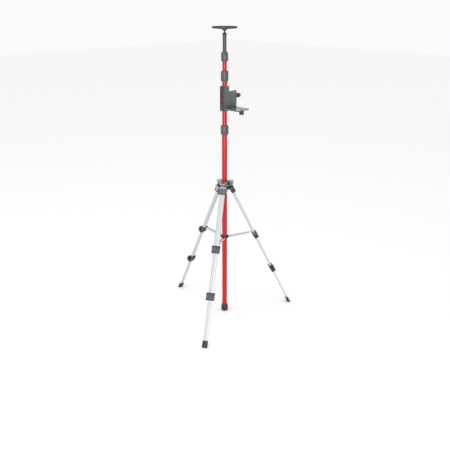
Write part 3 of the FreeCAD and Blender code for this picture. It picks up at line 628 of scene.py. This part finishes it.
plate_low = head_high.z - 8
waist_low = head_high.z - 16
rim_low = head_high.z - 22
top_plate = three_lobes(29, head_reach, 17, plate_low, head_high.z, 1.6)
place_piece(top_plate, "head_top_plate", "stand_head", "head_grey", head_pale_and_highlight, "head_casting")
# A dark patch sunk in the front lobe's top: painted dark reflection of the glossy plate.
dark_reflection_patch = box_at((26, -12, head_high.z - 3), (45, 12, head_high.z + 0.6))
soften(dark_reflection_patch, 1.2, 3)
dark_reflection_patch.data.transform(about_pole(azimuth["c"]))
place_piece(dark_reflection_patch, "head_front_dark_reflection_patch", "stand_head", "dark_plastic", head_dark_and_shade)
# Painted shade: the waist is near-black for the shade in the groove between plate and rim.
shaded_waist = three_lobes(25, head_reach - 5, 14, waist_low, plate_low, 0.6)
place_piece(shaded_waist, "head_shaded_waist", "stand_head", "dark_plastic", head_dark_and_shade)
rim = three_lobes(26, head_reach - 3, 15, rim_low, waist_low, 1.0)
place_piece(rim, "head_rim", "stand_head", "head_grey", head_pale_and_highlight)
sleeve_r = 22
sleeve = turn_up([(head_low.z, bush_high.x), (head_low.z, sleeve_r - 2), (head_low.z + 2, sleeve_r),
                  (rim_low, sleeve_r), (rim_low, bush_high.x)], closed=True)
tongue_half, tongue_r, leg_pin_r = 8, 9, 3
tongues = []
for leg in LEGS:
    tongue = bar_at((hinge_r, -tongue_half, hinge_z), (hinge_r, tongue_half, hinge_z), tongue_r)
    combine(tongue, box_at((20, -tongue_half, hinge_z - tongue_r),
                           (hinge_r, tongue_half, rim_low + 1)), "UNION")
    combine(tongue, bar_at((hinge_r, -tongue_half - 1, hinge_z),
                           (hinge_r, tongue_half + 1, hinge_z), leg_pin_r), "DIFFERENCE")
    soften(tongue, 0.6)
    tongue.data.transform(about_pole(azimuth[leg]))
    tongues.append(tongue)
hinge_body = gather([sleeve] + tongues)
place_piece(hinge_body, "head_hinge_body", "stand_head", "dark_plastic", head_dark_and_shade)
finish_node("head_bush", head_dark_and_shade)
finish_node("leg_pins", screw_steel)

knob_low, knob_high = (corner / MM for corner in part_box("head_lock_knob"))
knob_z = (knob_low.z + knob_high.z) / 2
head_grip_length = 17
head_grip = knob_about_z(knob_high.y, head_grip_length, 12, 0.8)
head_grip.data.transform(
    Matrix.Translation(((knob_high.x - head_grip_length) * MM, 0, knob_z * MM))
    @ Matrix.Rotation(math.radians(90), 4, "Y"))
place_piece(head_grip, "head_lock_grip", "head_knob", "black_plastic", black_nylon_and_shade,
            "head_lock_knob")
head_screw = bar_at((knob_low.x, 0, knob_z), (knob_high.x - head_grip_length + 1, 0, knob_z),
                    2.5, 24)
place_piece(head_screw, "head_lock_screw", "head_knob", "steel", screw_steel)
knob_cap = bar_at((knob_high.x - 1.4, 0, knob_z), (knob_high.x - 0.2, 0, knob_z), 4.6, 32)
soften(knob_cap, 0.4)
place_piece(knob_cap, "head_lock_cap", "head_knob", "head_grey", head_pale_and_highlight)


# ---------------------------------------------------------------- leg tops
# A dark moulded socket closes each leg's upper end, with an ear either side of the head's tongue.
# Pale pieces over it are painted highlights: a strip across the top and an edge down one side.
# A black band round its foot is painted shade. The outer face has a grey panel with a round boss.

def leg_frame(leg):
    """The leg's own frame: the hinge pin at the origin, Z up the leg and X out of its face."""
    up = -Vector(joint[f"leg_{leg}_mid_slide"]["axis"]).normalized()
    across = Vector(joint[f"leg_{leg}_fold"]["axis"]).normalized()
    out = across.cross(up)
    turn = Matrix((out, across, up)).transposed().to_4x4()
    return Matrix.Translation(Vector(joint[f"leg_{leg}_fold"]["pos_m"])) @ turn


def span_in_leg(node, leg):
    """Lowest and highest corners of a CAD node in the leg's own frame, in mm."""
    to_leg = leg_frame(leg).inverted()
    corners = [to_leg @ vertex.co for vertex in cad[node].data.vertices]
    return [Vector(pick(corner[axis] for corner in corners) / MM for axis in range(3))
            for pick in (min, max)]


def copy_for_leg(master, leg):
    """A copy of a piece modelled in the leg's frame, moved to that leg on the stand."""
    return moved_copy(master, leg_frame(leg))


# The same nylon in a mid grey, for the panels.
head_mid = moulded("leg_top_moulding", "#55595b", "#616567", 0.38, 1.2)
top_low, top_high = span_in_leg("leg_top_a", "a")
wide = top_high.y
outer_x = top_high.x
block_top = 8
leg_top = box_at((top_low.x + 1, -wide, top_low.z), (outer_x, wide, block_top))
bpy.ops.object.mode_set(mode="EDIT")
pick_faces(lambda centre, normal: normal.x > 0.9)
bpy.ops.mesh.inset(thickness=2.6 * MM, depth=0)
bpy.ops.mesh.inset(thickness=0.5 * MM, depth=-1.4 * MM)
bpy.ops.object.mode_set(mode="OBJECT")
ear_r, slot_half, slot_deep = 10, 8.4, 10
combine(leg_top, bar_at((0, -wide, 0), (0, wide, 0), ear_r), "UNION")
combine(leg_top, box_at((-30, -slot_half, -slot_deep), (30, slot_half, 30)), "DIFFERENCE")
soften(leg_top, 0.7, 2)
panel_low, panel_high = top_low.z + 4, 0.5
panel = box_at((outer_x - 2, -wide + 3.4, panel_low), (outer_x - 0.2, wide - 3.4, panel_high))
boss_z = (panel_low + panel_high) / 2
combine(panel, bar_at((outer_x - 1, 0, boss_z), (outer_x + 0.8, 0, boss_z), 5.6, 40), "UNION")
soften(panel, 0.5)
# Painted highlight: a pale strip along the top edge, where the light falls.
strip = box_at((ear_r, -wide + 0.6, 1.2), (outer_x + 0.5, wide - 0.6, block_top + 0.6))
soften(strip, 0.8, 3)
# Painted highlight: a pale edge down one side.
edge_highlight = box_at((top_low.x + 0.6, wide - 1, top_low.z + 6),
              (outer_x - 1.5, wide + 0.7, block_top + 0.4))
soften(edge_highlight, 1.4, 3)
# Painted shade: a black band round the bottom, on the underside that the light leaves dark.
band = box_at((top_low.x + 0.2, -wide - 0.3, top_low.z - 0.3),
              (outer_x + 0.3, wide + 0.3, top_low.z + 3))
soften(band, 0.9, 3)
for leg in LEGS:
    place_piece(copy_for_leg(leg_top, leg), f"leg_top_{leg}_socket", f"leg_{leg}", "dark_plastic",
                head_dark_and_shade, f"leg_top_{leg}")
    place_piece(copy_for_leg(panel, leg), f"leg_top_{leg}_panel", f"leg_{leg}", "head_grey",
                head_mid)
    place_piece(copy_for_leg(strip, leg), f"leg_top_{leg}_strip", f"leg_{leg}", "head_grey",
                head_pale_and_highlight)
    place_piece(copy_for_leg(edge_highlight, leg), f"leg_top_{leg}_trim", f"leg_{leg}", "head_grey",
                head_pale_and_highlight)
    place_piece(copy_for_leg(band, leg), f"leg_top_{leg}_band", f"leg_{leg}", "black_plastic",
                black_nylon_and_shade)
for master in (leg_top, panel, strip, edge_highlight, band):
    bpy.data.objects.remove(master)


# ---------------------------------------------------------------- leg tubes
# Flat-oval extruded aluminium, satin anodised in its natural silver: pale, with a broad soft
# sheen. The extrusion leaves lines along the leg, finer on the real one than the 1 mm drawn here.

leg_silver = {}
for leg in LEGS:
    silver = blank_material(f"leg_{leg}_satin_anodised")
    place = add(silver, "ShaderNodeTexCoord").outputs["Object"]
    turn = leg_frame(leg).to_3x3().inverted().to_euler()
    along = add(silver, "ShaderNodeMapping", {"Rotation": turn}, {"Vector": place})
    lines_at = add(silver, "ShaderNodeMapping", {"Scale": (1.0, 1.0, 0.02)},
                   {"Vector": along.outputs["Vector"]})
    lines = add(silver, "ShaderNodeTexNoise", {"Scale": 1 / (1.0 * MM), "Detail": 3.0},
                {"Vector": lines_at.outputs["Vector"]})
    tone = add(silver, "ShaderNodeValToRGB", links={"Fac": lines.outputs["Fac"]})
    tone.color_ramp.elements[0].position = 0.3
    tone.color_ramp.elements[0].color = linear("#bfc1c3")
    tone.color_ramp.elements[1].position = 0.7
    tone.color_ramp.elements[1].color = linear("#cccecf")
    rough = add(silver, "ShaderNodeMapRange", {"To Min": 0.3, "To Max": 0.42},
                {"Value": lines.outputs["Fac"]})
    bump = add(silver, "ShaderNodeBump", {"Strength": 0.15, "Distance": 0.00006},
               {"Height": lines.outputs["Fac"]})
    shader = add(silver, "ShaderNodeBsdfPrincipled", {"Metallic": 0.6},
                 {"Base Color": tone.outputs["Color"], "Roughness": rough.outputs["Result"],
                  "Normal": bump.outputs["Normal"]})
    add(silver, "ShaderNodeOutputMaterial", links={"Surface": shader.outputs["BSDF"]})
    leg_silver[leg] = silver
    for part in ("upper", "mid", "lower"):
        finish_node(f"{part}_leg_{leg}", silver)


# ---------------------------------------------------------------- leg locks
# Dark moulded housings at the two joints of each leg. The upper one also carries the tab that
# the brace is pinned to, and each has ears with a steel pin for its flip lever.

# Near-black nylon, satin, so that only its edges catch the light.
lock_dark = moulded("lock_dark_moulding", "#232527", "#2d2f31", 0.4, 1.1)
lock_half, lock_deep, lock_tall = 21, 10, 20
ear_tall, knuckle_r = 8, 4
pin_x, pin_y = 10.5, -17


def stadium(low, high, width, depth):
    """A flat bar with half-round edges along the leg, in its frame."""
    side = (width - depth) / 2
    bar = box_at((-depth / 2, -side, low), (depth / 2, side, high))
    for edge in (-side, side):
        combine(bar, bar_at((0, edge, low), (0, edge, high), depth / 2, 32), "UNION")
    return bar


def lock_housing(kind, tube, next_tube):
    """One lock housing in the leg's frame, hollow for the two tubes that it joins."""
    low, high = span_in_leg(f"lock_{kind}_a", "a")
    tube_low, tube_high = span_in_leg(f"{tube}_leg_a", "a")
    next_high = span_in_leg(f"{next_tube}_leg_a", "a")[1]
    lever_at = Vector(joint[f"lever_{kind}_a_flip"]["pos_m"])
    centre_z = (leg_frame("a").inverted() @ lever_at).z / MM
    bottom, top_z = centre_z - lock_tall, centre_z + lock_tall
    housing = box_at((-lock_deep, -lock_half, bottom), (lock_deep, lock_half, top_z))
    bpy.ops.object.mode_set(mode="EDIT")
    pick_faces(lambda centre, normal: normal.z > 0.9)
    bpy.ops.mesh.inset(thickness=2.2 * MM, depth=0)
    bpy.ops.transform.resize(value=(0.92, 0.94, 1), center_override=(0, 0, 0))
    bpy.ops.object.mode_set(mode="OBJECT")
    soften(housing, 2.0, 3)
    for ear_low in (bottom, top_z - ear_tall):
        ear = bar_at((pin_x, pin_y, ear_low), (pin_x, pin_y, ear_low + ear_tall), knuckle_r, 32)
        combine(housing, ear, "UNION")
    combine(housing, bar_at((pin_x, pin_y, bottom + ear_tall), (pin_x, pin_y, top_z - ear_tall),
                            knuckle_r + 0.4, 32), "DIFFERENCE")
    for side in (-1, 1):
        pocket = box_at((-5.5, min(side * 14.2, side * 24), centre_z - 3),
                        (4.5, max(side * 14.2, side * 24), top_z + 3))
        combine(housing, pocket, "DIFFERENCE")
    notch = bar_at((-14, 0, top_z + 4), (-6, 0, top_z + 4), 11, 40)
    combine(housing, notch, "DIFFERENCE")
    combine(housing, stadium(tube_low.z, top_z + 2, tube_high.y * 2, tube_high.x * 2), "DIFFERENCE")
    combine(housing, stadium(bottom - 2, tube_low.z + 2, next_high.y * 2 + 0.6,
                             next_high.x * 2 + 0.6), "DIFFERENCE")
    if kind == "upper":
        tab = box_at((low.x, -2, high.z - 16), (0.5 - lock_deep, 2, high.z))
        bpy.ops.object.mode_set(mode="EDIT")
        pick_faces(lambda centre, normal: normal.x > 0.9)
        bpy.ops.transform.translate(value=(0, 0, -11 * MM))
        bpy.ops.object.mode_set(mode="OBJECT")
        combine(housing, tab, "UNION")
    return soften(housing, 0.4, 2, 40)


for kind, tube, next_tube, body in (("upper", "upper", "mid", "leg"),
                                    ("lower", "mid", "lower", "mid")):
    housing = lock_housing(kind, tube, next_tube)
    for leg in LEGS:
        place_piece(copy_for_leg(housing, leg), f"lock_{kind}_{leg}_housing", f"{body}_{leg}",
                    "dark_plastic", lock_dark, f"lock_{kind}_{leg}")
    bpy.data.objects.remove(housing)


# ---------------------------------------------------------------- flip levers
# Each lever is a thin moulded door on the outer face of its lock. It has a hinge knuckle on one
# edge, a sunk panel, and a lip on the other edge, folded back for a fingertip.

# The same nylon a shade lighter, so that the doors read against their housings.
lever_dark = moulded("lever_dark_moulding", "#46494b", "#525557", 0.36, 1.1)
for kind, body in (("upper", "flip_upper"), ("lower", "flip_lower")):
    low, high = span_in_leg(f"lever_{kind}_a", "a")
    door = box_at((lock_deep + 0.4, pin_y, low.z), (lock_deep + 4.4, high.y, high.z))
    bpy.ops.object.mode_set(mode="EDIT")
    pick_faces(lambda centre, normal: normal.x > 0.9)
    bpy.ops.mesh.inset(thickness=3 * MM, depth=0)
    bpy.ops.mesh.inset(thickness=0.6 * MM, depth=-1.0 * MM)
    bpy.ops.object.mode_set(mode="OBJECT")
    combine(door, bar_at((pin_x, pin_y, low.z), (pin_x, pin_y, high.z), knuckle_r, 32), "UNION")
    lip = box_at((5.5, high.y - 0.4, low.z + 1), (15.6, high.y + 5.2, high.z - 1))
    combine(lip, box_at((4, high.y - 1, low.z), (10.5, high.y + 2.3, high.z)), "DIFFERENCE")
    soften(lip, 0.9)
    combine(door, lip, "UNION")
    combine(door, bar_at((pin_x, pin_y, low.z - 1), (pin_x, pin_y, high.z + 1), 1.56, 24),
            "DIFFERENCE")
    soften(door, 0.5, 2, 40)
    for leg in LEGS:
        place_piece(copy_for_leg(door, leg), f"lever_{kind}_{leg}_door", f"{body}_{leg}",
                    "dark_plastic", lever_dark, f"lever_{kind}_{leg}")
    bpy.data.objects.remove(door)


# ---------------------------------------------------------------- rubber feet
# Black rubber boots pushed on the lowest tubes. Each is moulded with rounded corners, and its
# sole is cut off level with the ground.

lean = leg_frame("a").to_3x3().col[2].angle(Vector((0, 0, 1)))
boot_low, boot_high = span_in_leg("leg_foot_a", "a")
lower_high = span_in_leg("lower_leg_a", "a")[1]
ground_z = -(hinge_z / math.cos(lean))
boot = box_at((boot_low.x, boot_low.y, boot_low.z - 12), boot_high)
bpy.ops.object.mode_set(mode="EDIT")
pick_faces(lambda centre, normal: normal.z > 0.9)
bpy.ops.transform.resize(value=(0.86, 0.93, 1), center_override=(0, 0, 0))
bpy.ops.object.mode_set(mode="OBJECT")
soften(boot, 3.0, 4)
ground = box_at((-60, -60, -80), (60, 60, 0))
ground.data.transform(Matrix.Translation((0, 0, ground_z * MM)) @ Matrix.Rotation(lean, 4, "Y"))
combine(boot, ground, "DIFFERENCE")
combine(boot, stadium(boot_high.z - 3, boot_high.z + 2, lower_high.y * 2 + 0.1,
                      lower_high.x * 2 + 0.1), "DIFFERENCE")
soften(boot, 0.5, 2, 50)
for leg in LEGS:
    place_piece(copy_for_leg(boot, leg), f"leg_foot_{leg}_boot", f"low_{leg}", "rubber",
                foot_rubber, f"leg_foot_{leg}")
bpy.data.objects.remove(boot)


# ---------------------------------------------------------------- brace hub and braces
# A black nylon ring slides on the pole and holds three folded aluminium channels, one to each
# leg. Each channel has a flat top and is riveted between its sides.

hub_low, hub_high = (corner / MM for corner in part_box("brace_hub"))
hub_z = (hub_low.z + hub_high.z) / 2
hub_r = hub_high.x
hub_pin = Vector(joint["brace_b_fold"]["pos_m"]).xy.length / MM
hub = turn_up([(hub_low.z, tube_r + 0.4), (hub_low.z, hub_r - 1.2), (hub_low.z + 1.2, hub_r),
               (hub_high.z - 1.2, hub_r), (hub_high.z, hub_r - 1.0), (hub_high.z + 4.5, hub_r - 2.2),
               (hub_high.z + 5.5, hub_r - 3.4), (hub_high.z + 5.5, tube_r + 0.4)],
              sides=64, closed=True)
for leg in LEGS:
    lug = box_at((hub_r - 4, -5, hub_z - 4), (hub_pin + 3, 5, hub_z + 4))
    soften(lug, 1.0)
    lug.data.transform(about_pole(azimuth[leg]))
    combine(hub, lug, "UNION")
place_piece(hub, "brace_hub_ring", "hub", "black_plastic", black_nylon_and_shade, "brace_hub")
finish_node("brace_pins", screw_steel)

# Rolled aluminium, pale and satin, with its rolling lines hardly seen.
brace_silver = drawn_tube("rolled_aluminium_sheet", "#c6c8ca", "#babcbe", 0.6, 0.38, 0.0)
tab_in, tab_down = 22, 295
tab_point = leg_frame("b") @ (Vector((-tab_in, 0, -tab_down)) * MM)
hub_point = Vector(joint["brace_b_fold"]["pos_m"])
run = tab_point - hub_point
length = run.length / MM
slope = math.atan2(run.z, run.xy.length)
side_half, sheet, deep = 8.5, 1.5, 3
inside = side_half - sheet
web_start, web_end = 8, length - 14
channel = box_at((-deep, -side_half, -deep), (length + 4, side_half, deep))
bpy.ops.object.mode_set(mode="EDIT")
bpy.ops.mesh.bisect(plane_co=(web_start * MM, 0, 0), plane_no=(1, 0, 0))
bpy.ops.object.mode_set(mode="OBJECT")
combine(channel, box_at((-6, -inside, -6), (length + 7, inside, deep - sheet)), "DIFFERENCE")
combine(channel, box_at((-6, -inside, 0), (web_start, inside, 6)), "DIFFERENCE")
combine(channel, box_at((web_end, -inside, 0), (length + 7, inside, 6)), "DIFFERENCE")
soften(channel, 0.6, 2, 50)
rivets = [bar_at((x, side * 8.3, 0), (x, side * 9.6, 0), 2.6, 24)
          for x in (0, length) for side in (-1, 1)]
for rivet in rivets:
    soften(rivet, 0.5)
strut = gather([channel] + rivets)
on_hub = (Matrix.Translation((hub_pin * MM, 0, hub_z * MM)) @ Matrix.Rotation(-slope, 4, "Y"))
for leg in LEGS:
    place_piece(moved_copy(strut, about_pole(azimuth[leg]) @ on_hub), f"brace_{leg}_channel",
                f"strut_{leg}", "brace_silver", brace_silver, f"brace_{leg}")
bpy.data.objects.remove(strut)


# ---------------------------------------------------------------- floor, light and camera
# A plain white sweep under soft, even studio light, seen from the height of a standing person.

bpy.ops.object.select_all(action="DESELECT")
bpy.ops.mesh.primitive_plane_add(size=30, location=(0, 0, 0))
floor = bpy.context.object
floor.name = "studio_floor"
floor_paint = blank_material("white_sweep")
floor_shader = add(floor_paint, "ShaderNodeBsdfPrincipled",
                   {"Base Color": linear("#fbfbfb"), "Roughness": 0.9, "Specular IOR Level": 0.1})
add(floor_paint, "ShaderNodeOutputMaterial", links={"Surface": floor_shader.outputs["BSDF"]})
floor.data.materials.append(floor_paint)

world = bpy.data.worlds.new("studio")
world.use_nodes = True
world.node_tree.nodes["Background"].inputs["Color"].default_value = linear("#ffffff")
world.node_tree.nodes["Background"].inputs["Strength"].default_value = 0.96
bpy.context.scene.world = world
bpy.context.scene.view_settings.view_transform = "Standard"

for name, spot, aim, wide, tall, power in (
        ("front_strip", (2.45, -2.75, 1.0), (0, 0, 0.8), 0.6, 2.4, 60),
        ("overhead_softbox", (-0.6, -1.6, 3.4), (0, 0, 0.6), 1.8, 1.8, 12)):
    light = bpy.data.lights.new(name, "AREA")
    light.shape = "RECTANGLE"
    light.size = wide
    light.size_y = tall
    light.energy = power
    lamp = bpy.data.objects.new(name, light)
    lamp.location = spot
    lamp.rotation_euler = (Vector(aim) - Vector(spot)).to_track_quat("-Z", "Y").to_euler()
    bpy.context.scene.collection.objects.link(lamp)

camera_data = bpy.data.cameras.new("viewpoint")
camera_data.sensor_width = 36
camera_data.lens = 45.115
camera_data.shift_x = 0.0009
camera_data.shift_y = -0.0005
camera = bpy.data.objects.new("viewpoint", camera_data)
camera.location = (2.0414, -2.0195, 1.7135)
level = Vector((-camera.location.x, -camera.location.y, 0)).normalized()
tilt = math.radians(22.297)
aim = level * math.cos(tilt) - Vector((0, 0, math.sin(tilt)))
camera.rotation_euler = aim.to_track_quat("-Z", "Y").to_euler()
bpy.context.scene.collection.objects.link(camera)
bpy.context.scene.camera = camera
